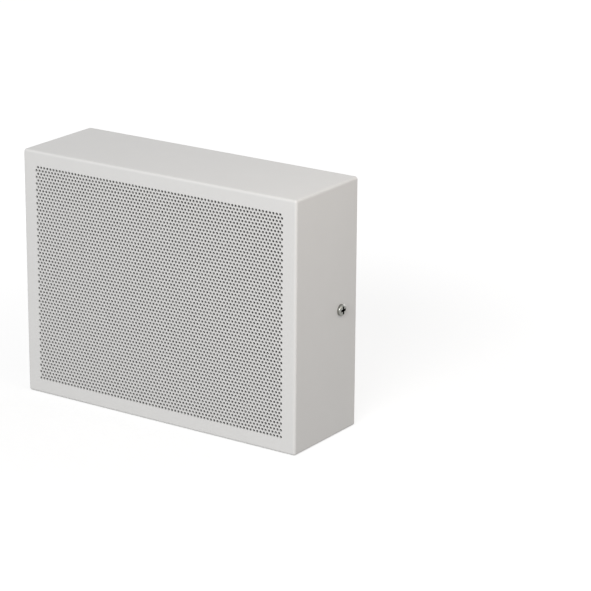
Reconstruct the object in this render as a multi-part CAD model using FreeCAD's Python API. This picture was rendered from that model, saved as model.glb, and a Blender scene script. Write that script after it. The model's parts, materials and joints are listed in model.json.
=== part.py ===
import FreeCAD, Part
import math
import os

from FreeCAD import Vector

# Wall loudspeaker in a folded steel cabinet, in millimetres.
# The wall plane is y = 0. The perforated front faces -Y, with +X to its right and +Z up.
# The origin is the centre of the middle cable hole, on the outer face of the back plate.

# Cabinet: one folded and corner-welded sheet, open at the back
cabinet_width = 250.0
cabinet_height = 194.0
cabinet_depth = 81.5
cabinet_sheet = 1.2
cabinet_edge_radius = 2.0
cabinet_rim_setback = 1.5

# Perforated field on the front: staggered rows inside a plain border
field_border = 11.5
perforation_pitch = 10.5
perforation_diameter = 6.9
perforation_sides = 6

# Back plate: folded sheet with a flange along each side
plate_sheet = 1.2
plate_side_clearance = 0.3
plate_end_gap = 0.8
plate_flange_depth = 32.0
plate_bend_radius = 2.0
plate_corner_relief = 3.0
cable_hole_diameter = 20.0
lower_hole_drop = 41.0
wall_slot_spacing = 150.0
wall_slot_width = 7.0
wall_slot_length = 16.0

# Side screws and the nuts that take them
side_screw_from_back = 22.5
side_screw_diameter = 4.0
side_screw_hole = 4.5
side_screw_length = 9.0
side_screw_head_diameter = 9.0
side_screw_head_height = 2.6
side_screw_recess_width = 1.8
side_screw_recess_length = 6.0
side_screw_recess_depth = 1.9
head_rounding = 0.6
clinch_nut_diameter = 8.0
clinch_nut_height = 4.0
thread_clearance = 0.05

# Cloth and baffle board behind the front
cloth_thickness = 0.6
cloth_overlap = 2.0
board_thickness = 5.0
board_edge_clearance = 1.5
board_corner_radius = 3.0
board_opening_clearance = 3.0

# Studs, washers and nuts of the baffle board
stud_wall_clearance = 1.3
stud_diameter = 4.0
stud_hole = 5.0
stud_end = 2.0
washer_diameter = 9.0
washer_thickness = 0.8
washer_hole = 4.3
nut_across_flats = 7.0
nut_height = 3.2

# Loudspeaker driver, whose axis runs along Y
driver_wall_clearance = 7.8
driver_z = 0.0
flange_opening = 108.0
flange_width = 12.0
basket_sheet = 1.2
basket_neck_depth = 6.5
shelf_outer_diameter = 80.0
shelf_width = 8.0
basket_rear_hole = 30.0
window_count = 6
window_rib_angle = 20.0
window_margin = 4.0
gasket_thickness = 2.5
surround_rim = 4.0
surround_thickness = 0.5
surround_roll_radius = 3.1
cone_rim_width = 3.0
cone_thickness = 0.7
cone_depth = 17.5
dust_cap_diameter = 32.0
dust_cap_height = 6.0
dust_cap_thickness = 0.6
glue_gap = 0.05
coil_inner_diameter = 19.7
former_thickness = 0.25
former_stub = 1.5
winding_thickness = 0.4
winding_length = 9.0
spider_gap = 4.0
spider_thickness = 0.5
spider_rim = 4.0
spider_wave_height = 1.2
spider_waves = 3
top_plate_diameter = 60.0
top_plate_thickness = 5.0
pole_clearance = 0.35
gap_clearance = 0.4
magnet_diameter = 70.0
magnet_hole = 32.0
magnet_thickness = 11.0
yoke_diameter = 62.0
yoke_thickness = 4.5

# Screws that hold the driver to the board
driver_screw_count = 4
driver_screw_diameter = 3.5
driver_screw_hole = 4.2
driver_screw_pilot = 3.6
driver_screw_length = 7.0
driver_screw_head_diameter = 6.6
driver_screw_head_height = 2.2

# Terminal strip and solder tags on the basket
strip_angle = 45.0
strip_length = 16.0
strip_edge_clearance = 1.0
strip_thickness = 1.6
tag_spacing = 8.0
tag_width = 3.0
tag_thickness = 0.6
tag_length = 7.0

# Line transformer on the back plate, with its laminations standing off the plate
transformer_from_side = 50.0
transformer_from_top = 45.0
limb_width = 8.0
window_height = 24.0
stack_thickness = 17.0
bobbin_wall = 1.0
bobbin_clearance = 0.3
winding_overhang = 7.0
winding_inset = 0.5
winding_corner_radius = 4.0
strap_thickness = 1.0
strap_foot = 11.0
strap_clearance = 0.2
strap_hole = 3.6
transformer_stud_diameter = 3.0
transformer_nut_flats = 5.5
transformer_nut_height = 2.4

# Ceramic terminal block on the back plate
block_x = 30.0
block_from_bottom = 35.0
block_length = 30.0
block_width = 18.0
block_height = 14.0
block_edge = 1.5
pole_spacing = 17.0
clamp_height = 6.0
clamp_diameter = 5.0
clamp_bore = 3.2
clamp_clearance = 0.1
clamp_screw_diameter = 2.6
clamp_screw_spacing = 9.0
clamp_screw_well = 4.4
clamp_screw_head_diameter = 3.8
clamp_screw_head_height = 1.6
block_stud_diameter = 3.0
block_stud_hole = 3.4
block_nut_flats = 5.5
block_nut_height = 2.4
block_nut_seat = 8.0
block_nut_well = 7.0

# Insulated leads
lead_diameter = 1.8
lead_tip = 5.0
lead_spacing = 5.0
lead_start = 12.0
lead_bend_share = 0.45

# Places that follow from the sizes above
side_wall = cabinet_width / 2
end_wall = cabinet_height / 2
front_inner = cabinet_sheet - cabinet_depth
board_front = front_inner + cloth_thickness
board_rear = board_front + board_thickness
basket_front = board_rear + gasket_thickness
plate_inner = -plate_sheet
plate_half_width = side_wall - cabinet_sheet - plate_side_clearance
plate_half_height = end_wall - cabinet_sheet - plate_end_gap
stud_inset = cabinet_sheet + washer_diameter / 2 + stud_wall_clearance
flange_radius = flange_opening / 2 + flange_width
gasket_inner = flange_opening / 2 + surround_rim + 2 * glue_gap
driver_screw_radius = (gasket_inner + flange_radius) / 2
driver_x = flange_radius + driver_wall_clearance + cabinet_sheet - side_wall
coil_inner = coil_inner_diameter / 2
coil_outer = coil_inner + former_thickness
winding_outer = coil_outer + winding_thickness
pole_radius = coil_inner - pole_clearance
gap_radius = winding_outer + gap_clearance
roll_middle = flange_opening / 2 - surround_roll_radius
cone_outer = roll_middle - surround_roll_radius
cone_inner = coil_outer + glue_gap
cone_neck = basket_front + cone_depth
shelf_front = cone_neck + spider_gap
shelf_outer = shelf_outer_diameter / 2
shelf_inner = shelf_outer - shelf_width
strip_radius = shelf_outer - shelf_width / 2 + basket_sheet
strip_width = shelf_width - 2 * strip_edge_clearance
basket_rear = shelf_front + basket_neck_depth + basket_sheet
top_plate_rear = basket_rear + top_plate_thickness
magnet_rear = top_plate_rear + magnet_thickness
winding_middle = basket_rear + top_plate_thickness / 2
driver_axis = Vector(driver_x, 0, driver_z)
transformer_x = side_wall - transformer_from_side
transformer_z = plate_half_height - transformer_from_top
block_z = block_from_bottom - plate_half_height
core_width = 6 * limb_width
core_height = window_height + 2 * limb_width
winding_half_depth = stack_thickness / 2 + winding_overhang
foot_hole_offset = core_width / 2 + strap_clearance + strap_thickness + strap_foot / 2
clamp_level = plate_inner - clamp_height


def box(x_low, x_high, y_low, y_high, z_low, z_high):
    """Plain block between two corners."""
    return Part.makeBox(x_high - x_low, y_high - y_low, z_high - z_low, Vector(x_low, y_low, z_low))


def rod(diameter, start, end):
    """Round bar from one point to another."""
    return Part.makeCylinder(diameter / 2, (end - start).Length, start, end - start)


def tube(outer, inner, start, end):
    """Round bar with a round hole along it."""
    return rod(outer, start, end).cut(rod(inner, start, end))


def hexagon(across_flats, start, end):
    """Six-sided bar from one point to another along Y."""
    corner = across_flats / math.sqrt(3)
    angles = [math.radians(60 * k) for k in range(7)]
    points = [start + Vector(corner * math.cos(a), 0, corner * math.sin(a)) for a in angles]
    return Part.Face(Part.makePolygon(points)).extrude(end - start)


def hex_nut(across_flats, bore, start, height):
    """Nut that stands on y = start.y and reaches towards the front."""
    end = start - Vector(0, height, 0)
    return hexagon(across_flats, start, end).cut(rod(bore, start, end))


def turned(points):
    """Solid of revolution about the driver's axis, from its section as (radius, y) points.

    A triple in the list is the middle of an arc between its two neighbours.
    """
    corners = [driver_axis + Vector(p[0], p[1], 0) for p in points + points[:1]]
    arc_middles = [len(p) == 3 for p in points + points[:1]]
    edges = []
    for k in range(len(points)):
        if arc_middles[k]:
            continue
        if arc_middles[k + 1]:
            edges.append(Part.Arc(corners[k], corners[k + 1], corners[k + 2]).toShape())
        else:
            edges.append(Part.LineSegment(corners[k], corners[k + 1]).toShape())
    return Part.Face(Part.Wire(edges)).revolve(driver_axis, Vector(0, 1, 0), 360)


def ring_section(inner, outer, front, rear):
    """Flat-sided ring about the driver's axis."""
    return turned([(inner, front), (outer, front), (outer, rear), (inner, rear)])


def rounded_box(half_width, half_height, front, rear, radius):
    """Block along Y whose front edges and long edges are rounded alike."""
    block = box(-half_width, half_width, front, rear, -half_height, half_height)
    rear_edges = [e for e in block.Edges if all(abs(v.Y - rear) < 1e-6 for v in e.Vertexes)]
    kept = [e.hashCode() for e in rear_edges]
    return block.makeFillet(radius, [e for e in block.Edges if e.hashCode() not in kept])


def slot(middle, along, length, width, depth):
    """Round-ended cutter that runs along Y from its middle, with its long way along a unit vector."""
    across = Vector(along.z, 0, along.x) * (width / 2)
    reach = along * ((length - width) / 2)
    tip = along * (length / 2)
    right = Part.Arc(middle + reach - across, middle + tip, middle + reach + across)
    left = Part.Arc(middle - reach + across, middle - tip, middle - reach - across)
    top = Part.LineSegment(middle + reach + across, middle - reach + across)
    bottom = Part.LineSegment(middle - reach - across, middle + reach - across)
    outline = Part.Wire([side.toShape() for side in (right, top, left, bottom)])
    return Part.Face(outline).extrude(Vector(0, depth, 0))


def perforations():
    """Staggered rows of holes that fill the field, as one compound of prisms through the front.

    The pitch is stretched a little so that whole rows and columns reach from border to border.
    """
    field_x = cabinet_width - 2 * field_border - perforation_diameter
    field_z = cabinet_height - 2 * field_border - perforation_diameter
    columns = round(field_x / perforation_pitch)
    rows = round(field_z / (perforation_pitch * math.sqrt(3) / 2))
    column_step = field_x / columns
    row_step = field_z / rows
    angles = [2 * math.pi * (k + 0.5) / perforation_sides for k in range(perforation_sides + 1)]
    ring = [Vector(math.cos(a), 0, math.sin(a)) * (perforation_diameter / 2) for a in angles]
    depth = Vector(0, 3 * cabinet_sheet, 0)
    prisms = []
    for row in range(rows + 1):
        shifted = row % 2
        for column in range(columns + 1 - shifted):
            x = (column + shifted / 2) * column_step - field_x / 2
            centre = Vector(x, -cabinet_depth - cabinet_sheet, row * row_step - field_z / 2)
            prisms.append(Part.Face(Part.makePolygon([centre + p for p in ring])).extrude(depth))
    return Part.makeCompound(prisms)


def stud_places():
    """Corners of the front where the weld studs stand, on the front's inner face."""
    x = side_wall - stud_inset
    z = end_wall - stud_inset
    return [Vector(sx * x, front_inner, sz * z) for sx in (-1, 1) for sz in (-1, 1)]


def at_y(point, y):
    return Vector(point.x, y, point.z)


def side_screw_line(side, x_low, x_high):
    """Two points on the axis of the screw in one side wall."""
    y = -side_screw_from_back
    return Vector(side * x_low, y, 0), Vector(side * x_high, y, 0)


def make_front_cabinet():
    radius = cabinet_edge_radius
    outer = rounded_box(side_wall, end_wall, -cabinet_depth, -cabinet_rim_setback, radius)
    inner = rounded_box(
        side_wall - cabinet_sheet,
        end_wall - cabinet_sheet,
        front_inner,
        cabinet_sheet,
        max(radius - cabinet_sheet, cabinet_sheet / 4),
    )
    shell = outer.cut(inner)
    for side in (-1, 1):
        line = side_screw_line(side, side_wall - 2 * cabinet_sheet, side_wall + 1)
        shell = shell.cut(rod(side_screw_hole, *line))
    return shell.cut(perforations())


def upright_edges_at(block, y):
    """Edges of a block that run along Z in the plane at y."""
    edges = [e for e in block.Edges if e.BoundBox.ZLength > e.BoundBox.XLength]
    return [e for e in edges if all(abs(v.Y - y) < 1e-6 for v in e.Vertexes)]


def make_back_plate():
    half_width = plate_half_width
    radius = plate_bend_radius
    half_height = plate_half_height
    front = -plate_flange_depth
    channel = box(-half_width, half_width, front, 0, -half_height, half_height)
    channel = channel.makeFillet(radius, upright_edges_at(channel, 0))
    inner_half = half_width - plate_sheet
    hollow = box(-inner_half, inner_half, front - 1, plate_inner, -half_height - 1, half_height + 1)
    inner_radius = max(radius - plate_sheet, plate_sheet / 4)
    plate = channel.cut(hollow.makeFillet(inner_radius, upright_edges_at(hollow, plate_inner)))
    relief = plate_corner_relief
    for sx in (-1, 1):
        for sz in (-1, 1):
            x = sx * half_width
            z = sz * half_height
            plate = plate.cut(box(x - relief, x + relief, front - 1, 1, z - relief, z + relief))
    for x, z in ((0, 0), (wall_slot_spacing / 2, -lower_hole_drop)):
        plate = plate.cut(rod(cable_hole_diameter, Vector(x, 1, z), Vector(x, plate_inner - 1, z)))
    for side, along in ((1, Vector(1, 0, 0)), (-1, Vector(0, 0, 1))):
        middle = Vector(side * wall_slot_spacing / 2, plate_inner - plate_sheet, 0)
        plate = plate.cut(slot(middle, along, wall_slot_length, wall_slot_width, 3 * plate_sheet))
    for side in (-1, 1):
        line = side_screw_line(side, half_width - 2 * plate_sheet, half_width + 1)
        plate = plate.cut(rod(side_screw_hole, *line))
    return plate


def domed_head(diameter, height, seat, top):
    """Pan head of a screw, rounded round its top."""
    head = rod(diameter, seat, top)
    rim = [e for e in head.Edges if e.Closed and (e.Curve.Center - top).Length < 1e-6]
    return head.makeFillet(height * head_rounding, rim)


def make_side_screws():
    screws = []
    for side in (-1, 1):
        seat, top = side_screw_line(side, side_wall, side_wall + side_screw_head_height)
        tip = seat - Vector(side * side_screw_length, 0, 0)
        head = domed_head(side_screw_head_diameter, side_screw_head_height, seat, top)
        screw = head.fuse(rod(side_screw_diameter, tip, seat)).removeSplitter()
        floor = top.x - side * side_screw_recess_depth
        span = sorted((floor, top.x + side))
        length = side_screw_recess_length / 2
        width = side_screw_recess_width / 2
        for half_y, half_z in ((length, width), (width, length)):
            screw = screw.cut(box(span[0], span[1], top.y - half_y, top.y + half_y, -half_z, half_z))
        screws.append(screw)
    return Part.makeCompound(screws)


def make_clinch_nuts():
    face = plate_half_width - plate_sheet
    nuts = []
    for side in (-1, 1):
        line = side_screw_line(side, face - clinch_nut_height, face)
        nuts.append(tube(clinch_nut_diameter, side_screw_diameter + 2 * thread_clearance, *line))
    return Part.makeCompound(nuts)


def make_acoustic_cloth():
    half_x = side_wall - field_border + cloth_overlap
    half_z = end_wall - field_border + cloth_overlap
    cloth = box(-half_x, half_x, front_inner, board_front, -half_z, half_z)
    for place in stud_places():
        cloth = cloth.cut(rod(stud_hole, at_y(place, front_inner - 1), at_y(place, board_front + 1)))
    return cloth


def make_baffle_board():
    half_x = side_wall - cabinet_sheet - board_edge_clearance
    half_z = end_wall - cabinet_sheet - board_edge_clearance
    board = box(-half_x, half_x, board_front, board_rear, -half_z, half_z)
    board = board.makeFillet(board_corner_radius, [e for e in board.Edges if e.BoundBox.YLength > 1])
    opening = flange_opening + 2 * board_opening_clearance
    board = board.cut(rod(opening, at_y(driver_axis, board_front - 1), at_y(driver_axis, board_rear + 1)))
    for place in stud_places():
        board = board.cut(rod(stud_hole, at_y(place, board_front - 1), at_y(place, board_rear + 1)))
    for place in driver_screw_places():
        floor = board_rear - driver_screw_reach() - thread_clearance
        board = board.cut(rod(driver_screw_pilot, at_y(place, floor), at_y(place, board_rear + 1)))
    return board


def make_baffle_studs():
    end = board_rear + washer_thickness + nut_height + stud_end
    return Part.makeCompound([rod(stud_diameter, place, at_y(place, end)) for place in stud_places()])


def make_baffle_washers():
    end = board_rear + washer_thickness
    rings = [tube(washer_diameter, washer_hole, at_y(p, board_rear), at_y(p, end)) for p in stud_places()]
    return Part.makeCompound(rings)


def make_baffle_nuts():
    top = board_rear + washer_thickness + nut_height
    bore = stud_diameter + 2 * thread_clearance
    nuts = [hex_nut(nut_across_flats, bore, at_y(p, top), nut_height) for p in stud_places()]
    return Part.makeCompound(nuts)


def driver_screw_places():
    """Points of the driver screws on their circle in the flange."""
    angles = [2 * math.pi * (k + 0.5) / driver_screw_count for k in range(driver_screw_count)]
    ring = [Vector(math.cos(a), 0, math.sin(a)) * driver_screw_radius for a in angles]
    return [driver_axis + step for step in ring]


def driver_screw_reach():
    """Length of a driver screw inside the board."""
    return driver_screw_length - basket_sheet - gasket_thickness


def drilled(shape, diameter, front, rear):
    """Shape with the driver's screw holes through it."""
    holes = [rod(diameter, at_y(p, front - 1), at_y(p, rear + 1)) for p in driver_screw_places()]
    return shape.cut(Part.makeCompound(holes))


def make_driver_gasket():
    ring = ring_section(gasket_inner, flange_radius, board_rear, basket_front)
    return drilled(ring, driver_screw_hole, board_rear, basket_front)


def make_driver_basket():
    sheet = basket_sheet
    rim = flange_radius
    mouth = flange_opening / 2
    shelf = shelf_outer
    neck = shelf_inner
    hole = basket_rear_hole / 2
    flange_rear = basket_front + sheet
    shelf_rear = shelf_front + sheet
    bottom = basket_rear - sheet
    frame = turned([
        (mouth, basket_front),
        (rim, basket_front),
        (rim, flange_rear),
        (mouth + sheet, flange_rear),
        (shelf + sheet, shelf_rear),
        (neck + sheet, shelf_rear),
        (neck + sheet, basket_rear),
        (hole, basket_rear),
        (hole, bottom),
        (neck, bottom),
        (neck, shelf_front),
        (shelf, shelf_front),
    ])
    low = flange_rear + window_margin
    high = shelf_front - window_margin
    corners = [Vector(neck, low, 0), Vector(rim, low, 0), Vector(rim, high, 0), Vector(neck, high, 0)]
    section = Part.Face(Part.makePolygon([driver_axis + p for p in corners + corners[:1]]))
    for k in range(window_count):
        window = section.revolve(driver_axis, Vector(0, 1, 0), 360.0 / window_count - window_rib_angle)
        window.rotate(driver_axis, Vector(0, 1, 0), 360.0 * k / window_count)
        frame = frame.cut(window)
    return drilled(frame, driver_screw_hole, basket_front, flange_rear)


def make_driver_screws():
    seat = basket_front + basket_sheet
    screws = []
    for place in driver_screw_places():
        tip = at_y(place, board_rear - driver_screw_reach())
        shank = rod(driver_screw_diameter, tip, at_y(place, seat))
        top = at_y(place, seat + driver_screw_head_height)
        head = domed_head(driver_screw_head_diameter, driver_screw_head_height, at_y(place, seat), top)
        screws.append(head.fuse(shank).removeSplitter())
    return Part.makeCompound(screws)


def make_driver_surround():
    thick = surround_thickness
    roll = surround_roll_radius
    outer_roll = roll + thick
    foot = math.sqrt(outer_roll**2 - thick**2)
    front = basket_front - thick
    inner = cone_outer - cone_rim_width
    outer = flange_opening / 2 + surround_rim
    return turned([
        (inner, front),
        (roll_middle - foot, front),
        (roll_middle, basket_front - outer_roll, "arc"),
        (roll_middle + foot, front),
        (outer, front),
        (outer, basket_front),
        (roll_middle + roll, basket_front),
        (roll_middle, basket_front - roll, "arc"),
        (roll_middle - roll, basket_front),
        (inner, basket_front),
    ])


def cone_height(radius):
    """Level of the cone's front face at a radius between its neck and its rim."""
    outer = cone_outer - cone_rim_width
    return basket_front + cone_depth * (outer - radius) / (outer - cone_inner)


def make_driver_cone():
    outer = cone_outer - cone_rim_width
    thick = cone_thickness
    return turned([
        (outer, basket_front),
        (cone_outer, basket_front),
        (cone_outer, basket_front + thick),
        (outer, basket_front + thick),
        (cone_inner + thick, cone_neck + thick),
        (cone_inner, cone_neck + thick),
        (cone_inner, cone_neck),
    ])


def dome_middle(rim, height, tip):
    """Point halfway along the round section of a dome, between its tip and its rim."""
    ball = (rim**2 + height**2) / (2 * height)
    half_turn = math.asin(rim / ball) / 2
    return ball * math.sin(half_turn), tip + ball * (1 - math.cos(half_turn)), "arc"


def make_driver_dust_cap():
    rim = dust_cap_diameter / 2
    thick = dust_cap_thickness
    seat = cone_height(rim) - glue_gap
    tip = seat - dust_cap_height
    return turned([
        (0, tip),
        dome_middle(rim, dust_cap_height, tip),
        (rim, seat),
        (rim - thick, seat),
        dome_middle(rim - thick, dust_cap_height - thick, tip + thick),
        (0, tip + thick),
    ])


def make_voice_coil_former():
    rear = winding_middle + winding_length / 2
    return ring_section(coil_inner, coil_outer, cone_neck - former_stub, rear)


def make_voice_coil_winding():
    half = winding_length / 2
    return ring_section(coil_outer, winding_outer, winding_middle - half, winding_middle + half)


def make_driver_spider():
    outer = shelf_outer - glue_gap
    start = outer - spider_rim
    inner = coil_outer + glue_gap
    thick = spider_thickness
    level = shelf_front - thick
    steps = 2 * spider_waves + 1
    wave = []
    for k in range(1, steps):
        lift = spider_wave_height if k % 2 else 0
        wave.append((start + (inner - start) * k / steps, level - lift))
    front = [(outer, level), (start, level)] + wave + [(inner, level)]
    rear = [(r, y + thick) for r, y in reversed(front)]
    return turned(front + rear)


def make_magnet_top_plate():
    return ring_section(gap_radius, top_plate_diameter / 2, basket_rear, top_plate_rear)


def make_driver_magnet():
    return ring_section(magnet_hole / 2, magnet_diameter / 2, top_plate_rear, magnet_rear)


def make_pole_yoke():
    rear = magnet_rear + yoke_thickness
    outer = yoke_diameter / 2
    bevel = yoke_thickness / 4
    return turned([
        (0, basket_rear),
        (pole_radius, basket_rear),
        (pole_radius, magnet_rear),
        (outer, magnet_rear),
        (outer, rear - bevel),
        (outer - bevel, rear),
        (0, rear),
    ])


def strip_placed(shape):
    """Shape drawn at the driver's +X side, turned about the driver's axis to the terminal strip's place."""
    shape.rotate(driver_axis, Vector(0, 1, 0), -strip_angle)
    return shape


def make_driver_terminal_strip():
    seat = shelf_front + basket_sheet
    x = driver_x + strip_radius
    z = driver_z
    half_width = strip_width / 2
    half_length = strip_length / 2
    top = seat + strip_thickness
    strip = box(x - half_width, x + half_width, seat, top, z - half_length, z + half_length)
    return strip_placed(strip)


def tag_joint(number):
    """Point on a solder tag's outer face where a lead ends, and the way out from there."""
    turn = FreeCAD.Rotation(Vector(0, 1, 0), -strip_angle)
    y = shelf_front + basket_sheet + strip_thickness + tag_length - lead_diameter / 2
    z = (number - 0.5) * tag_spacing
    place = driver_axis + turn.multVec(Vector(strip_radius + tag_thickness / 2, y, z))
    return place, turn.multVec(Vector(1, 0, 0))


def make_driver_solder_tags():
    seat = shelf_front + basket_sheet + strip_thickness
    x = driver_x + strip_radius
    half_width = tag_width / 2
    half_thickness = tag_thickness / 2
    tags = []
    for side in (1, -1):
        z = driver_z + side * tag_spacing / 2
        tip = seat + tag_length
        tag = box(x - half_thickness, x + half_thickness, seat, tip, z - half_width, z + half_width)
        tags.append(strip_placed(tag))
    return Part.makeCompound(tags)


def make_transformer_core():
    half = core_width / 2
    base = plate_inner
    top = base - core_height
    low = transformer_z - stack_thickness / 2
    high = transformer_z + stack_thickness / 2
    core = box(transformer_x - half, transformer_x + half, top, base, low, high)
    for side in (-1, 1):
        edges = sorted((transformer_x + side * limb_width, transformer_x + side * 2 * limb_width))
        core = core.cut(box(edges[0], edges[1], top + limb_width, base - limb_width, low - 1, high + 1))
    return core


def coil_box(half_x, half_z, low, high):
    """Block round the transformer's middle limb."""
    x = transformer_x
    z = transformer_z
    return box(x - half_x, x + half_x, low, high, z - half_z, z + half_z)


def coil_span():
    """Lowest and highest y of the bobbin in the core's windows."""
    rear = plate_inner - limb_width - bobbin_clearance
    return rear - window_height + 2 * bobbin_clearance, rear


def bobbin_core_half():
    """Half sizes of the bobbin's tube, outside."""
    reach = bobbin_clearance + bobbin_wall
    return limb_width + reach, stack_thickness / 2 + reach


def make_transformer_bobbin():
    front, rear = coil_span()
    core_x, core_z = bobbin_core_half()
    half_x = 2 * limb_width - bobbin_clearance
    bobbin = coil_box(core_x, core_z, front, rear)
    for low in (front, rear - bobbin_wall):
        bobbin = bobbin.fuse(coil_box(half_x, winding_half_depth, low, low + bobbin_wall))
    hole = coil_box(core_x - bobbin_wall, core_z - bobbin_wall, front - 1, rear + 1)
    return bobbin.cut(hole).removeSplitter()


def make_transformer_winding():
    front, rear = coil_span()
    core_x, core_z = bobbin_core_half()
    half_x = 2 * limb_width - bobbin_clearance - winding_inset
    half_z = winding_half_depth - winding_inset
    low = front + bobbin_wall
    high = rear - bobbin_wall
    block = coil_box(half_x, half_z, low, high)
    block = block.makeFillet(winding_corner_radius, [e for e in block.Edges if e.BoundBox.YLength > 1])
    return block.cut(coil_box(core_x, core_z, low - 1, high + 1))


def make_transformer_strap():
    inner = core_width / 2 + strap_clearance
    outer = inner + strap_thickness
    reach = outer + strap_foot
    base = plate_inner
    foot = base - strap_thickness
    under = base - core_height - strap_clearance
    top = under - strap_thickness
    right = [(inner, base), (reach, base), (reach, foot), (outer, foot), (outer, top)]
    left = [(-x, y) for x, y in reversed(right)]
    section = right + left + [(-inner, under), (inner, under)]
    low = transformer_z - stack_thickness / 2
    points = [Vector(transformer_x + x, y, low) for x, y in section + section[:1]]
    strap = Part.Face(Part.makePolygon(points)).extrude(Vector(0, 0, stack_thickness))
    for place in transformer_stud_places():
        strap = strap.cut(rod(strap_hole, at_y(place, base + 1), at_y(place, foot - 1)))
    return strap


def transformer_stud_places():
    sides = (-foot_hole_offset, foot_hole_offset)
    return [Vector(transformer_x + side, plate_inner, transformer_z) for side in sides]


def make_transformer_studs():
    top = plate_inner - strap_thickness - transformer_nut_height - stud_end / 2
    places = transformer_stud_places()
    return Part.makeCompound([rod(transformer_stud_diameter, p, at_y(p, top)) for p in places])


def make_transformer_nuts():
    seat = plate_inner - strap_thickness
    bore = transformer_stud_diameter + 2 * thread_clearance
    nuts = []
    for place in transformer_stud_places():
        nuts.append(hex_nut(transformer_nut_flats, bore, at_y(place, seat), transformer_nut_height))
    return Part.makeCompound(nuts)


def pole_places():
    """Middles of the terminal block's two wire channels."""
    return [Vector(block_x + side * pole_spacing / 2, clamp_level, block_z) for side in (-1, 1)]


def clamp_screw_places():
    steps = [Vector(0, 0, side * clamp_screw_spacing / 2) for side in (-1, 1)]
    return [place + step for place in pole_places() for step in steps]


def make_terminal_block():
    half_x = block_length / 2
    half_z = block_width / 2
    front = plate_inner - block_height
    low = Vector(block_x - half_x, front, block_z - half_z)
    block = Part.makeBox(block_length, block_height, block_width, low)
    block = block.makeFillet(block_edge, [e for e in block.Edges if e.BoundBox.YLength > 1])
    reach = Vector(0, 0, half_z + 1)
    for place in pole_places():
        block = block.cut(rod(clamp_diameter + 2 * clamp_clearance, place - reach, place + reach))
    for place in clamp_screw_places():
        block = block.cut(rod(clamp_screw_well, place, at_y(place, front - 1)))
    middle = Vector(block_x, plate_inner + 1, block_z)
    block = block.cut(rod(block_stud_hole, middle, at_y(middle, front - 1)))
    well = rod(block_nut_well, at_y(middle, plate_inner - block_nut_seat), at_y(middle, front - 1))
    return block.cut(well)


def make_terminal_clamps():
    half = Vector(0, 0, block_width / 2 - 2 * clamp_clearance)
    clamps = [tube(clamp_diameter, clamp_bore, place - half, place + half) for place in pole_places()]
    holes = clamp_screw_diameter + 2 * thread_clearance
    drills = [rod(holes, place, at_y(place, place.y - clamp_diameter)) for place in clamp_screw_places()]
    cutter = Part.makeCompound(drills)
    return Part.makeCompound([clamp.cut(cutter) for clamp in clamps])


def make_terminal_screws():
    screws = []
    for place in clamp_screw_places():
        tip = at_y(place, clamp_level - lead_diameter / 2 - clamp_clearance)
        seat = at_y(place, clamp_level - clamp_diameter / 2 - clamp_clearance)
        top = at_y(place, seat.y - clamp_screw_head_height)
        head = rod(clamp_screw_head_diameter, seat, top)
        screws.append(head.fuse(rod(clamp_screw_diameter, tip, seat)).removeSplitter())
    return Part.makeCompound(screws)


def make_terminal_stud():
    middle = Vector(block_x, plate_inner, block_z)
    top = plate_inner - block_nut_seat - block_nut_height - stud_end / 2
    return rod(block_stud_diameter, middle, at_y(middle, top))


def make_terminal_nut():
    seat = Vector(block_x, plate_inner - block_nut_seat, block_z)
    return hex_nut(block_nut_flats, block_stud_diameter + 2 * thread_clearance, seat, block_nut_height)


def lead(points):
    """Round lead along straight runs joined by tangent arcs, each as large as its two runs allow."""
    edges = []
    last = points[0]
    for before, corner, after in zip(points, points[1:], points[2:]):
        into = (corner - before).normalize()
        out = (after - corner).normalize()
        cut = lead_bend_share * min((corner - before).Length, (after - corner).Length)
        turn = into.getAngle(out)
        radius = cut / math.tan(turn / 2)
        start = corner - into * cut
        end = corner + out * cut
        inward = (out - into).normalize()
        middle = corner + inward * (radius / math.cos(turn / 2) - radius)
        edges.append(Part.LineSegment(last, start).toShape())
        edges.append(Part.Arc(start, middle, end).toShape())
        last = end
    edges.append(Part.LineSegment(last, points[-1]).toShape())
    path = Part.Wire(edges)
    ring = Part.Wire(Part.makeCircle(lead_diameter / 2, points[0], points[1] - points[0]))
    return path.makePipeShell([ring], True, True)


def winding_exit(offset):
    """Point on the winding's lower side where a lead leaves it."""
    front, rear = coil_span()
    z = transformer_z - winding_half_depth + winding_inset
    return Vector(transformer_x + offset, (front + rear) / 2, z)


def make_line_lead(number):
    start = winding_exit((0.5 + number) * lead_spacing)
    pole = pole_places()[number]
    entry = Vector(pole.x, pole.y, block_z + block_width / 2)
    return lead([
        start,
        start - Vector(0, 0, lead_start),
        Vector((start.x + entry.x) / 2, (start.y + entry.y) / 2, (start.z + entry.z) / 2 + lead_start),
        entry + Vector(0, 0, 2 * lead_start),
        entry - Vector(0, 0, lead_tip),
    ])


def make_driver_lead(number):
    start = winding_exit(-(0.5 + number) * lead_spacing)
    end, outward = tag_joint(number)
    return lead([
        start,
        start - Vector(0, 0, lead_start - number * lead_spacing),
        end + outward * lead_start,
        end,
    ])


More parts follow.
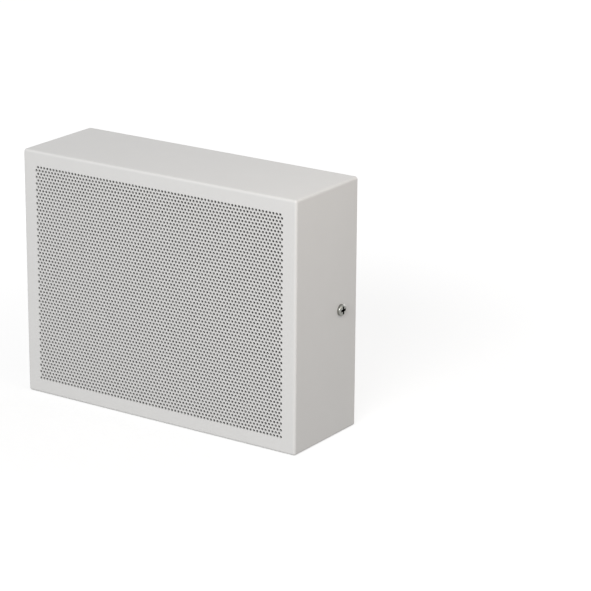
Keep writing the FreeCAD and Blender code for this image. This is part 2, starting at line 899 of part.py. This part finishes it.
nodes = {
    "front_cabinet": make_front_cabinet(),
    "back_plate": make_back_plate(),
    "side_screws": make_side_screws(),
    "clinch_nuts": make_clinch_nuts(),
    "acoustic_cloth": make_acoustic_cloth(),
    "baffle_board": make_baffle_board(),
    "baffle_studs": make_baffle_studs(),
    "baffle_washers": make_baffle_washers(),
    "baffle_nuts": make_baffle_nuts(),
    "driver_gasket": make_driver_gasket(),
    "driver_basket": make_driver_basket(),
    "driver_screws": make_driver_screws(),
    "driver_surround": make_driver_surround(),
    "driver_cone": make_driver_cone(),
    "driver_dust_cap": make_driver_dust_cap(),
    "voice_coil_former": make_voice_coil_former(),
    "voice_coil_winding": make_voice_coil_winding(),
    "driver_spider": make_driver_spider(),
    "magnet_top_plate": make_magnet_top_plate(),
    "driver_magnet": make_driver_magnet(),
    "pole_yoke": make_pole_yoke(),
    "driver_terminal_strip": make_driver_terminal_strip(),
    "driver_solder_tags": make_driver_solder_tags(),
    "transformer_core": make_transformer_core(),
    "transformer_bobbin": make_transformer_bobbin(),
    "transformer_winding": make_transformer_winding(),
    "transformer_strap": make_transformer_strap(),
    "transformer_studs": make_transformer_studs(),
    "transformer_nuts": make_transformer_nuts(),
    "terminal_block": make_terminal_block(),
    "terminal_clamps": make_terminal_clamps(),
    "terminal_screws": make_terminal_screws(),
    "terminal_stud": make_terminal_stud(),
    "terminal_nut": make_terminal_nut(),
    "line_lead_a": make_line_lead(0),
    "line_lead_b": make_line_lead(1),
    "driver_lead_a": make_driver_lead(0),
    "driver_lead_b": make_driver_lead(1),
}

os.makedirs("parts", exist_ok=True)
for name, shape in nodes.items():
    shape.exportStep("parts/" + name + ".step")
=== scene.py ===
import json
import math

import bmesh
import bpy
import numpy as np
from mathutils import Matrix, Vector
from mathutils.geometry import delaunay_2d_cdt


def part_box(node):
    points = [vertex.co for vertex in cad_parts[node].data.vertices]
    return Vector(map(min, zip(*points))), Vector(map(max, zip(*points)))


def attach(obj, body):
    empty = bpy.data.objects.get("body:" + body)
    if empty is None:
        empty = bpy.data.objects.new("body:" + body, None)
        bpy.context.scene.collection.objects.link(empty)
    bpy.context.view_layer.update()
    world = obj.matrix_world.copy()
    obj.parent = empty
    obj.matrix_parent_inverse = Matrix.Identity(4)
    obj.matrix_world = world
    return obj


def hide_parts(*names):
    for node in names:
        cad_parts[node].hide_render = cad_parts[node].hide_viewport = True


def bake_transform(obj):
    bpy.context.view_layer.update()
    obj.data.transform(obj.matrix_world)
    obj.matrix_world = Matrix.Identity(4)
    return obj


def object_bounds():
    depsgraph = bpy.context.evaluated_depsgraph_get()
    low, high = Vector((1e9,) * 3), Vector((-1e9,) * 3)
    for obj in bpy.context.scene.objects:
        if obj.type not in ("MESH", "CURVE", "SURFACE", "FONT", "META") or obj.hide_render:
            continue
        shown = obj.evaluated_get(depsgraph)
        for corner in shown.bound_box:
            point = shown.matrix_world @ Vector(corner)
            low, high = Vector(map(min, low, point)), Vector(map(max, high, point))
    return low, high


# Looks of the wall loudspeaker, in metres, in the part's own frame.

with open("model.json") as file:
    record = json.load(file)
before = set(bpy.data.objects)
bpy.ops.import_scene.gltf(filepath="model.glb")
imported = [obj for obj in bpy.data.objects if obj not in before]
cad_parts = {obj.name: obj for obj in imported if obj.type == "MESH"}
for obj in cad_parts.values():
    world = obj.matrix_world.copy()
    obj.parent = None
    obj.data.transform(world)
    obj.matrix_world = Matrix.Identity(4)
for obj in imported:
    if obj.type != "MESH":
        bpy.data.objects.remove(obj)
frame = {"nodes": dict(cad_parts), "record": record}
cad_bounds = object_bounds()
cabinet_low, cabinet_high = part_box("front_cabinet")
cloth_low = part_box("acoustic_cloth")[0]
screw_low, screw_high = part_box("side_screws")
screw_middle = (screw_low + screw_high) / 2

# Folded sheet of the cabinet, with its fine perforation
SHEET = cloth_low.y - cabinet_low.y
EDGE_RADIUS = 0.002
RIM_BEVEL = 0.0003
ROUND_STEPS = 8
FIELD_BORDER = 0.0115
HOLE_PITCH = 0.003
HOLE_DIAMETER = 0.00205
HOLE_SIDES = 8
SCREW_HOLE_DIAMETER = 0.0045
SCREW_HOLE_SIDES = 24

# Panels with holes: which triangles are made, the closest points, and the decimals that tell points apart
TRIANGLES_INSIDE = 1
PANEL_TOLERANCE = 1e-9
POINT_DECIMALS = 8

# Painted shade in the cross recess of the side screws: its reach round the axis, and the depths where it
# starts and where it is full
SCREW_RECESS_RADIUS = 0.0032
SCREW_RECESS_EDGE = 0.0001
SCREW_RECESS_FLOOR = 0.0008
RECESS_PAINTED_SHADE = (0.01, 0.01, 0.009)

# Soft rings of the driver: radius that stays with the basket, radius that goes with the cone, and sectors
SURROUND_FLEX = (0.054, 0.0478, 24)
SPIDER_FLEX = (0.0359, 0.0135, 12)

# Cuts between the sectors: the first one in parts of a sector, how near points count as on a cut,
# how near they count as one, and the angle from which an edge is sharp
FIRST_CUT = 0.5
CUT_SNAP = 2e-5
RING_WELD = 1e-7
RING_CREASE = math.radians(35)

# Bands of the wave texture: radians for each unit of its scale
WAVE_RATE = 20

# Camera, from a fit to the cabinet's edges in the photograph
IMAGE_WIDTH_PX = 591
FOCAL_LENGTH_PX = 2709.5
SENSOR_WIDTH_MM = 36.0
CAMERA_PLACE = Vector((1.1569, -1.6130, 0.6220))
CAMERA_AZIMUTH = math.radians(33.98)
CAMERA_ELEVATION = math.radians(17.87)
CAMERA_ROLL = math.radians(0.4)

# Floor: half its side, its tone, the glow that the camera sees near the object and far off,
# and the distances between which that changes
FLOOR_REACH = 12.0
FLOOR_ALBEDO = 0.34
FLOOR_LIFT = (0.74, 0.84)
SHADOW_REACH = (0.2, 0.6)

# Light from all round, and the lamps
WORLD_LEVEL = 0.42
LAMPS = {
    "key": dict(spot=Vector((0.6, -2.22, 1.0)), size=1.2, power=34.2, colour=(1.0, 1.0, 1.0)),
    "fill": dict(spot=Vector((0.5, -0.12, 0.34)), size=0.3, power=0.58, colour=(1.0, 0.9, 0.8)),
    "back": dict(spot=Vector((0.0, 2.4, 0.2)), size=0.9, power=22.0, colour=(1.0, 1.0, 1.0)),
    "left": dict(spot=Vector((-2.3, 0.35, 0.1)), size=0.7, power=8.0, colour=(1.0, 1.0, 1.0)),
}


class FaceStore:
    """Triangles of one mesh, gathered in groups, with a normal for each corner."""

    def __init__(self):
        self.points = []
        self.faces = []
        self.normals = []
        self.count = 0

    def add(self, points, faces, normals):
        """Adds triangles that share no points with the earlier groups yet."""
        self.points.append(points)
        self.faces.append(faces + self.count)
        self.normals.append(normals)
        self.count += len(points)

    def add_flat(self, points, faces, normal):
        """Adds triangles of one plane, wound to face along its normal."""
        first, second, third = (points[faces[:, k]] for k in range(3))
        backward = np.cross(second - first, third - first) @ normal < 0
        faces = np.where(backward[:, None], faces[:, ::-1], faces)
        self.add(points, faces, np.broadcast_to(normal, (len(faces), 3, 3)))

    def add_strip(self, first, second, first_normals, second_normals, skip=()):
        """Adds the band between two closed rings of points, wound to face along their normals."""
        size = len(first)
        points = np.vstack([first, second])
        normals = np.vstack([first_normals, second_normals])
        here = np.array([k for k in range(size) if k not in skip])
        there = (here + 1) % size
        quads = np.stack([here, there, there + size, here + size], axis=1)
        faces = np.vstack([quads[:, [0, 1, 2]], quads[:, [0, 2, 3]]])
        corners = points[faces]
        across = np.cross(corners[:, 1] - corners[:, 0], corners[:, 2] - corners[:, 0])
        backward = np.einsum("ij,ij->i", across, normals[faces].mean(axis=1)) < 0
        faces = np.where(backward[:, None], faces[:, ::-1], faces)
        self.add(points, faces, normals[faces])

    def mesh(self, name):
        """One welded mesh with the gathered corner normals."""
        points = np.round(np.vstack(self.points), POINT_DECIMALS)
        faces = np.vstack(self.faces)
        normals = np.vstack(self.normals)
        welded, index = np.unique(points, axis=0, return_inverse=True)
        faces = index.reshape(-1)[faces]
        first, second, third = faces.T
        kept = (first != second) & (second != third) & (third != first)
        mesh = bpy.data.meshes.new(name)
        mesh.from_pydata(welded.tolist(), [], faces[kept].tolist(), shade_flat=False)
        mesh.normals_split_custom_set(normals[kept].reshape(-1, 3).tolist())
        return mesh


def ring_of_holes(centres, diameter, sides):
    """Corner points of round holes as an array of holes, corners and two coordinates.

    The corners stand a little outside the circle, so that each hole is as open as a round one.
    """
    wedge = 2 * math.pi / sides
    radius = diameter / 2 * math.sqrt(wedge / math.sin(wedge))
    angles = wedge * (np.arange(sides) + 0.5)
    ring = np.stack([np.cos(angles), np.sin(angles)], axis=1) * radius
    return centres[:, None, :] + ring[None, :, :]


def rectangle(low, high):
    """Corners of a flat rectangle, from its lowest and highest one."""
    return np.array([low, (high[0], low[1]), high, (low[0], high[1])])


def pierced_panel(corners, holes):
    """Triangles of a flat rectangle with holes in it, as two-dimensional points and faces."""
    count, sides, _ = holes.shape
    points = np.vstack([corners, holes.reshape(-1, 2)])
    loops = [list(range(len(corners)))]
    loops += (len(corners) + np.arange(count * sides).reshape(count, sides)).tolist()
    flat = [Vector(point) for point in points]
    result = delaunay_2d_cdt(flat, [], loops, TRIANGLES_INSIDE, PANEL_TOLERANCE)
    _, _, faces, origins, _, sources = result
    solid = [face for face, source in zip(faces, sources) if source == [0]]
    return points[[origin[0] for origin in origins]], np.array(solid)


def hole_centres():
    """Centres of the staggered holes that fill the front's field from border to border, as (x, z)."""
    size = cabinet_high - cabinet_low
    field_x = size.x - 2 * FIELD_BORDER - HOLE_DIAMETER
    field_z = size.z - 2 * FIELD_BORDER - HOLE_DIAMETER
    columns = round(field_x / HOLE_PITCH)
    rows = round(field_z / (HOLE_PITCH * math.sqrt(3) / 2))
    centres = []
    for row in range(rows + 1):
        shift = row % 2
        for column in range(columns + 1 - shift):
            x = (column + shift / 2) * field_x / columns - field_x / 2
            centres.append((x, row * field_z / rows - field_z / 2))
    return np.array(centres)


def flat_half(inset, radius):
    """Half the width and half the height of the front inside its rounded edge."""
    return cabinet_high.x - inset - radius, cabinet_high.z - inset - radius


def rounded_ring(inset, radius, turn, y):
    """Ring round the cabinet at one turn of its front rounding, with its outward normals.

    The walls stand in from the outside by the inset.
    The turn runs from the front (0) to the walls (90 degrees).
    """
    swing = math.sin(turn)
    half_x, half_z = flat_half(inset, radius)
    points = []
    normals = []
    for quarter, (side_x, side_z) in enumerate(((1, 1), (-1, 1), (-1, -1), (1, -1))):
        for step in range(ROUND_STEPS + 1):
            angle = math.pi / 2 * (quarter + step / ROUND_STEPS)
            out_x, out_z = math.cos(angle), math.sin(angle)
            x = side_x * half_x + radius * swing * out_x
            z = side_z * half_z + radius * swing * out_z
            points.append((x, y, z))
            normals.append((swing * out_x, -math.cos(turn), swing * out_z))
    return np.array(points), np.array(normals)


def add_skin(store, inset, radius, facing):
    """Adds the outer (facing 1) or inner (facing -1) skin of the cabinet, with its holes."""
    front = cabinet_low.y + inset
    rear = cabinet_high.y - RIM_BEVEL
    turns = [math.pi / 2 * step / ROUND_STEPS for step in range(ROUND_STEPS + 1)]
    rings = [rounded_ring(inset, radius, t, front + radius * (1 - math.cos(t))) for t in turns]
    for (first, first_normals), (second, second_normals) in zip(rings, rings[1:]):
        store.add_strip(first, second, facing * first_normals, facing * second_normals)

    # Walls: plain above and below, with a screw hole to the left and right
    wall, wall_normals = rings[-1]
    rear_ring = wall * (1, 0, 1) + (0, rear, 0)
    size = len(wall)
    left, right = ROUND_STEPS + size // 4, size - 1
    store.add_strip(wall, rear_ring, facing * wall_normals, facing * wall_normals, skip=(left, right))
    centre = np.array([screw_middle.yz])
    hole = ring_of_holes(centre, SCREW_HOLE_DIAMETER, SCREW_HOLE_SIDES)
    for side, index in ((-1, left), (1, right)):
        z_low, z_high = sorted((wall[index, 2], wall[(index + 1) % size, 2]))
        flat, faces = pierced_panel(rectangle((wall[index, 1], z_low), (rear, z_high)), hole)
        points = np.column_stack([np.full(len(flat), wall[index, 0]), flat])
        store.add_flat(points, faces, np.array((side * facing, 0, 0), float))

    # Front: the perforated field inside its plain border
    half_x, half_z = flat_half(inset, radius)
    holes = ring_of_holes(hole_centres(), HOLE_DIAMETER, HOLE_SIDES)
    flat, faces = pierced_panel(rectangle((-half_x, -half_z), (half_x, half_z)), holes)
    points = np.column_stack([flat[:, 0], np.full(len(flat), front), flat[:, 1]])
    store.add_flat(points, faces, np.array((0, -facing, 0), float))
    return rear_ring, wall_normals


def add_hole_walls(store):
    """Adds the walls of the front's holes and of the screw holes."""
    centres = hole_centres()
    rings = ring_of_holes(centres, HOLE_DIAMETER, HOLE_SIDES)
    for centre, ring in zip(centres, rings):
        front = np.column_stack([ring[:, 0], np.full(HOLE_SIDES, cabinet_low.y), ring[:, 1]])
        inward = (centre - ring) / (HOLE_DIAMETER / 2)
        normals = np.column_stack([inward[:, 0], np.zeros(HOLE_SIDES), inward[:, 1]])
        store.add_strip(front, front + (0, SHEET, 0), normals, normals)
    centre = np.array([screw_middle.yz])
    ring = ring_of_holes(centre, SCREW_HOLE_DIAMETER, SCREW_HOLE_SIDES)[0]
    inward = (centre - ring) / (SCREW_HOLE_DIAMETER / 2)
    normals = np.column_stack([np.zeros(SCREW_HOLE_SIDES), inward])
    for outside, inside in ((cabinet_low.x, SHEET), (cabinet_high.x, -SHEET)):
        outer = np.column_stack([np.full(SCREW_HOLE_SIDES, outside), ring])
        store.add_strip(outer, outer + (inside, 0, 0), normals, normals)


def stand_in(mesh, material, node):
    """Object that is shown in place of a CAD node."""
    mesh.materials.clear()
    mesh.materials.append(material)
    piece = bpy.data.objects.new(mesh.name, mesh)
    bpy.context.scene.collection.objects.link(piece)
    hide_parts(node)
    return piece


def make_cabinet(material):
    """Folded sheet with its true perforation, in place of the coarser solid."""
    store = FaceStore()
    outer, outer_normals = add_skin(store, 0, EDGE_RADIUS, 1)
    inner, inner_normals = add_skin(store, SHEET, EDGE_RADIUS - SHEET, -1)
    add_hole_walls(store)

    # Cut edge at the back, with its corners eased by the paint
    rearward = np.tile((0.0, 1.0, 0.0), (len(outer), 1))
    eased_outer = outer + RIM_BEVEL * (rearward - outer_normals)
    eased_inner = inner + RIM_BEVEL * (rearward + inner_normals)
    store.add_strip(outer, eased_outer, outer_normals, rearward)
    store.add_strip(eased_outer, eased_inner, rearward, rearward)
    store.add_strip(eased_inner, inner, rearward, -inner_normals)
    piece = stand_in(store.mesh("cabinet_sheet"), material, "front_cabinet")
    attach(piece, "cabinet")


def ring_sector(node, middle, count, number):
    """One of so many equal sectors of a ring-shaped node, as a closed mesh."""
    sector = bmesh.new()
    sector.from_mesh(frame["nodes"][node].data)
    bmesh.ops.remove_doubles(sector, verts=sector.verts, dist=RING_WELD)
    for turn, side in ((number, 1), (number + 1, -1)):
        angle = 2 * math.pi * (turn + FIRST_CUT) / count
        kept = side * Vector((-math.sin(angle), 0, math.cos(angle)))
        whole = sector.verts[:] + sector.edges[:] + sector.faces[:]
        cut = bmesh.ops.bisect_plane(
            sector, geom=whole, dist=CUT_SNAP, plane_co=middle, plane_no=kept, clear_inner=True
        )
        rim = [item for item in cut["geom_cut"] if isinstance(item, bmesh.types.BMEdge)]
        bmesh.ops.edgeloop_fill(sector, edges=rim)
    mesh = bpy.data.meshes.new(f"{node}_{number + 1}")
    sector.to_mesh(mesh)
    sector.free()
    mesh.attributes.remove(mesh.attributes["custom_normal"])
    mesh.shade_smooth()
    mesh.set_sharp_from_angle(angle=RING_CREASE)
    return mesh


def make_flexing(node, flex, material):
    """Soft ring in sectors, in place of a stiff node.
    """
    fixed, moving, count = flex
    low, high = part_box(node)
    middle = (low + high) / 2
    for number in range(count):
        piece = stand_in(ring_sector(node, middle, count, number), material, node)
        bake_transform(piece)


def add_node(tree, kind, inputs=None, **settings):
    """Shader node with its settings, whose inputs are constants or the sockets that feed them."""
    node = tree.nodes.new(kind)
    for name, value in settings.items():
        setattr(node, name, value)
    for name, value in (inputs or {}).items():
        if isinstance(value, bpy.types.NodeSocket):
            tree.links.new(value, node.inputs[name])
        else:
            node.inputs[name].default_value = value
    return node


def calculated(tree, operation, first, second=0.0):
    """Result of one operation on two values or sockets."""
    return add_node(tree, "ShaderNodeMath", {0: first, 1: second}, operation=operation).outputs["Value"]


class Finish:
    """A material under construction: its node tree and its shader."""

    def __init__(self, name):
        self.material = bpy.data.materials.new(name)
        self.material.use_nodes = True
        self.tree = self.material.node_tree
        self.shader = self.tree.nodes["Principled BSDF"]
        self.coordinates = add_node(self.tree, "ShaderNodeTexCoord").outputs["Object"]

    def set(self, name, value):
        """Sets a constant value on the shader's own socket."""
        self.shader.inputs[name].default_value = value

    def feed(self, name, source):
        """Gives the shader a value that varies over the surface."""
        self.tree.links.new(source, self.shader.inputs[name])

    def mapped(self, stretch):
        """Object coordinates, stretched along the axes."""
        inputs = {"Vector": self.coordinates, "Scale": stretch}
        return add_node(self.tree, "ShaderNodeMapping", inputs).outputs["Vector"]

    def noise(self, cells, detail=4.0, stretch=(1, 1, 1)):
        """Noise of so many cells a metre."""
        inputs = {"Vector": self.mapped(stretch), "Scale": cells, "Detail": detail}
        return add_node(self.tree, "ShaderNodeTexNoise", inputs).outputs["Fac"]

    def bands(self, direction, width):
        """Even bands across one axis, each so wide."""
        inputs = {"Vector": self.coordinates, "Scale": 2 * math.pi / (WAVE_RATE * width)}
        return add_node(self.tree, "ShaderNodeTexWave", inputs, bands_direction=direction).outputs["Fac"]

    def weave(self, thread):
        """Height of a plain weave, where the higher of two crossing threads shows."""
        return calculated(self.tree, "MAXIMUM", self.bands("X", thread), self.bands("Z", thread))

    def painted_recess_shade(self):
        """Mask of the painted shade: 1 deep in the cross recess of either side screw's head, and 0 on the
        rest of the part.
        """
        parts = add_node(self.tree, "ShaderNodeSeparateXYZ", {"Vector": self.coordinates})
        side = calculated(self.tree, "ABSOLUTE", parts.outputs["X"])
        depth = add_node(self.tree, "ShaderNodeMapRange", {
            "Value": side,
            "From Min": screw_high.x - SCREW_RECESS_EDGE,
            "From Max": screw_high.x - SCREW_RECESS_FLOOR,
        })
        ends = {0: self.mapped((0, 1, 1)), 1: (0, screw_middle.y, screw_middle.z)}
        off_axis = add_node(self.tree, "ShaderNodeVectorMath", ends, operation="DISTANCE")
        near_axis = calculated(self.tree, "LESS_THAN", off_axis.outputs["Value"], SCREW_RECESS_RADIUS)
        in_head = calculated(self.tree, "GREATER_THAN", side, cabinet_high.x)
        inside = calculated(self.tree, "MULTIPLY", near_axis, in_head)
        return calculated(self.tree, "MULTIPLY", depth.outputs["Result"], inside)

    def colours(self, factor, dark, light):
        """Base colour between two tones."""
        inputs = {"Factor": factor, "A": (*dark, 1), "B": (*light, 1)}
        mix = add_node(self.tree, "ShaderNodeMix", inputs, data_type="RGBA")
        self.feed("Base Color", mix.outputs["Result"])

    def darken(self, factor, tone):
        """Takes the base colour over to a darker tone where the factor is 1."""
        base = self.shader.inputs["Base Color"].links[0].from_socket
        inputs = {"Factor": factor, "A": base, "B": (*tone, 1)}
        mix = add_node(self.tree, "ShaderNodeMix", inputs, data_type="RGBA")
        self.feed("Base Color", mix.outputs["Result"])

    def roughness(self, factor, low, high):
        """Roughness between two values."""
        inputs = {"Value": factor, "To Min": low, "To Max": high}
        self.feed("Roughness", add_node(self.tree, "ShaderNodeMapRange", inputs).outputs["Result"])

    def relief(self, height, depth, strength=1.0):
        """Bump so deep at most."""
        inputs = {"Height": height, "Distance": depth, "Strength": strength}
        self.feed("Normal", add_node(self.tree, "ShaderNodeBump", inputs).outputs["Normal"])


def powder_coat(name, tone):
    """Fine-grained baked paint with a faint orange peel."""
    finish = Finish(name)
    finish.colours(finish.noise(cells=60, detail=6), dark=tuple(0.97 * c for c in tone), light=tone)
    finish.roughness(finish.noise(cells=25), low=0.44, high=0.5)
    finish.relief(finish.noise(cells=1100, detail=2), depth=0.00002, strength=0.5)
    finish.set("Specular IOR Level", 0.45)
    return finish.material


def plated_steel(name, tone, rough):
    """Bright metal with faint clouds and fine scratches, and painted shade deep in the side screws'
    recesses.
    """
    finish = Finish(name)
    finish.colours(finish.noise(cells=350, detail=5), dark=tuple(0.8 * c for c in tone), light=tone)
    # Painted shade: the cross recesses of the side screws are darkened to a near-black tone
    finish.darken(finish.painted_recess_shade(), RECESS_PAINTED_SHADE)
    finish.roughness(finish.noise(cells=900, detail=3), low=rough - 0.06, high=rough + 0.08)
    finish.relief(finish.noise(cells=1500, detail=2, stretch=(1, 0.1, 1)), depth=0.00001, strength=0.4)
    finish.set("Metallic", 1.0)
    return finish.material


def woven_cloth(name, dark, light, thread):
    """Plain weave of round threads."""
    finish = Finish(name)
    weave = finish.weave(thread)
    finish.colours(weave, dark, light)
    finish.relief(weave, depth=0.2 * thread)
    finish.set("Roughness", 0.95)
    finish.set("Specular IOR Level", 0.15)
    return finish.material


def fibrous(name, dark, light, cells, depth, stretch=(1, 1, 1)):
    """Pressed fibres or grains: board, paper pulp, hard fibre or ferrite."""
    finish = Finish(name)
    fibres = finish.noise(cells, detail=8, stretch=stretch)
    finish.colours(fibres, dark, light)
    finish.relief(fibres, depth)
    finish.set("Roughness", 0.85)
    finish.set("Specular IOR Level", 0.2)
    return finish.material


def soft_skin(name, dark, light, cells, depth):
    """Foam or rubber with a fine-pored surface."""
    finish = Finish(name)
    pores = finish.noise(cells, detail=3)
    finish.colours(pores, dark, light)
    finish.roughness(pores, low=0.6, high=0.85)
    finish.relief(pores, depth)
    return finish.material


def wound(name, dark, light, wire):
    """Layers of wire or tape side by side along Y."""
    finish = Finish(name)
    turns = finish.bands("Y", wire)
    finish.colours(turns, dark, light)
    finish.relief(turns, depth=0.3 * wire)
    finish.set("Roughness", 0.35)
    finish.set("Metallic", 0.8)
    return finish.material


def laminated(name, dark, light, thickness):
    """Stack of thin varnished plates."""
    finish = Finish(name)
    plates = finish.bands("Z", thickness)
    finish.colours(plates, dark, light)
    finish.relief(plates, depth=0.2 * thickness)
    finish.set("Roughness", 0.5)
    finish.set("Metallic", 0.6)
    return finish.material


def moulded(name, dark, light, rough):
    """Moulded plastic, glaze or wire insulation with a faint mottle."""
    finish = Finish(name)
    finish.colours(finish.noise(cells=250, detail=3), dark, light)
    finish.roughness(finish.noise(cells=600, detail=2), low=rough - 0.05, high=rough + 0.05)
    finish.relief(finish.noise(cells=900, detail=2), depth=0.00001, strength=0.3)
    return finish.material


def grey(level):
    """Colour with as much red as green and blue."""
    return (level, level, level)


def make_materials():
    """One material for each slot of the record."""
    materials = {}

    def add(slot, finish, **values):
        materials[slot] = finish(slot, **values)

    white = (0.8, 0.795, 0.785)
    add("cabinet_paint", powder_coat, tone=white)
    add("plate_paint", powder_coat, tone=white)
    add("plated_steel", plated_steel, tone=(0.31, 0.312, 0.29), rough=0.22)
    add("pressed_steel", plated_steel, tone=(0.6, 0.6, 0.57), rough=0.34)
    add("former_foil", plated_steel, tone=grey(0.78), rough=0.2)
    add("brass", plated_steel, tone=(0.74, 0.56, 0.28), rough=0.24)
    add("black_cloth", woven_cloth, dark=grey(0.004), light=grey(0.02), thread=0.0005)
    add("cap_cloth", woven_cloth, dark=grey(0.012), light=grey(0.04), thread=0.0006)
    add("spider_cloth", woven_cloth, dark=(0.3, 0.19, 0.06), light=(0.55, 0.4, 0.18), thread=0.0008)
    add("board", fibrous, dark=(0.19, 0.12, 0.06), light=(0.36, 0.25, 0.15), cells=220, depth=0.0001)
    add("cone_paper", fibrous, dark=grey(0.02), light=(0.055, 0.052, 0.05), cells=500, depth=0.0001,
        stretch=(1, 0.3, 1))
    add("fibre_board", fibrous, dark=(0.2, 0.1, 0.04), light=(0.35, 0.2, 0.1), cells=700, depth=0.00003)
    add("ferrite", fibrous, dark=(0.03, 0.03, 0.032), light=(0.07, 0.07, 0.072), cells=900, depth=0.00003)
    add("gasket_foam", soft_skin, dark=grey(0.015), light=grey(0.04), cells=1200, depth=0.0001)
    add("surround_rubber", soft_skin, dark=(0.015, 0.015, 0.016), light=grey(0.03), cells=2000,
        depth=0.00002)
    add("copper_wire", wound, dark=(0.3, 0.11, 0.04), light=(0.66, 0.32, 0.15), wire=0.0002)
    add("winding_tape", wound, dark=(0.55, 0.36, 0.06), light=(0.72, 0.52, 0.16), wire=0.006)
    add("lamination_steel", laminated, dark=(0.06, 0.06, 0.065), light=(0.3, 0.3, 0.31), thickness=0.0005)
    add("bobbin_plastic", moulded, dark=grey(0.05), light=grey(0.08), rough=0.5)
    add("ceramic", moulded, dark=(0.78, 0.76, 0.7), light=(0.85, 0.83, 0.78), rough=0.2)
    add("lead_red", moulded, dark=(0.4, 0.03, 0.02), light=(0.52, 0.045, 0.03), rough=0.45)
    add("lead_black", moulded, dark=grey(0.015), light=grey(0.03), rough=0.45)
    return materials


def dress_nodes(materials):
    """Gives each CAD node the material of its slot."""
    for part in frame["record"]["subparts"]:
        mesh = frame["nodes"][part["node"]].data
        mesh.materials.clear()
        mesh.materials.append(materials[part["material_slot"]])


def seen_rays(tree):
    """1 for rays from the camera, also by way of a mirror or glass, and 0 for the others."""
    rays = add_node(tree, "ShaderNodeLightPath").outputs
    total = rays["Is Camera Ray"]
    for kind in ("Is Glossy Ray", "Is Transmission Ray"):
        total = calculated(tree, "MAXIMUM", total, rays[kind])
    return total


def floor_material():
    """Matt floor that is white to the camera, a little less so near the object, where its shadow lies."""
    finish = Finish("floor")
    finish.set("Base Color", (*grey(FLOOR_ALBEDO), 1))
    finish.set("Roughness", 1.0)
    finish.set("Specular IOR Level", 0.0)
    finish.set("Emission Color", (1, 1, 1, 1))
    distance = add_node(finish.tree, "ShaderNodeVectorMath", {0: finish.coordinates}, operation="LENGTH")
    fade = add_node(finish.tree, "ShaderNodeMapRange", {
        "Value": distance.outputs["Value"],
        "From Min": SHADOW_REACH[0],
        "From Max": SHADOW_REACH[1],
        "To Min": FLOOR_LIFT[0],
        "To Max": FLOOR_LIFT[1],
    }, interpolation_type="SMOOTHSTEP")
    lift = calculated(finish.tree, "MULTIPLY", seen_rays(finish.tree), fade.outputs["Result"])
    finish.feed("Emission Strength", lift)
    return finish.material


def make_floor():
    """Pale floor under the object, which keeps its shadow."""
    level = cad_bounds[0][2]
    corners = rectangle((-FLOOR_REACH, -FLOOR_REACH), (FLOOR_REACH, FLOOR_REACH))
    mesh = bpy.data.meshes.new("floor")
    mesh.from_pydata([(x, y, level) for x, y in corners], [], [(0, 1, 2, 3)])
    mesh.materials.append(floor_material())
    floor = bpy.data.objects.new("floor", mesh)
    bpy.context.scene.collection.objects.link(floor)


def make_world():
    """Even studio light, white where the camera sees it."""
    world = bpy.data.worlds.new("studio")
    bpy.context.scene.world = world
    world.use_nodes = True
    tree = world.node_tree
    background = tree.nodes["Background"]
    background.inputs["Color"].default_value = (1, 1, 1, 1)
    inputs = {"Value": seen_rays(tree), "To Min": WORLD_LEVEL, "To Max": 1.0}
    level = add_node(tree, "ShaderNodeMapRange", inputs)
    tree.links.new(level.outputs["Result"], background.inputs["Strength"])


def make_lamp(name, spot, size, power, colour):
    """Soft square lamp that points at the middle of the object, out of the camera's sight."""
    lamp = bpy.data.lights.new(name, "AREA")
    lamp.shape = "SQUARE"
    lamp.size = size
    lamp.energy = power
    lamp.color = colour
    holder = bpy.data.objects.new(name, lamp)
    holder.location = spot
    middle = (cabinet_low + cabinet_high) / 2
    holder.rotation_euler = (middle - spot).to_track_quat("-Z", "Y").to_euler()
    holder.visible_camera = False
    bpy.context.scene.collection.objects.link(holder)


def make_camera():
    """Camera at the photograph's place and angle."""
    level = math.cos(CAMERA_ELEVATION)
    forward = Vector((
        -math.sin(CAMERA_AZIMUTH) * level,
        math.cos(CAMERA_AZIMUTH) * level,
        -math.sin(CAMERA_ELEVATION),
    ))
    right = Vector((math.cos(CAMERA_AZIMUTH), math.sin(CAMERA_AZIMUTH), 0))
    up = right.cross(forward)
    rolled_right = right * math.cos(CAMERA_ROLL) + up * math.sin(CAMERA_ROLL)
    rolled_up = up * math.cos(CAMERA_ROLL) - right * math.sin(CAMERA_ROLL)
    turn = Matrix((rolled_right, rolled_up, -forward)).transposed().to_4x4()
    lens = bpy.data.cameras.new("camera")
    lens.sensor_width = SENSOR_WIDTH_MM
    lens.lens = FOCAL_LENGTH_PX / IMAGE_WIDTH_PX * SENSOR_WIDTH_MM
    camera = bpy.data.objects.new("camera", lens)
    camera.matrix_world = Matrix.Translation(CAMERA_PLACE) @ turn
    bpy.context.scene.collection.objects.link(camera)
    bpy.context.scene.camera = camera


materials = make_materials()
dress_nodes(materials)
make_cabinet(materials["cabinet_paint"])
make_flexing("driver_surround", SURROUND_FLEX, materials["surround_rubber"])
make_flexing("driver_spider", SPIDER_FLEX, materials["spider_cloth"])
make_floor()
make_world()
for name, values in LAMPS.items():
    make_lamp(name, **values)
make_camera()
bpy.context.scene.view_settings.view_transform = "Standard"
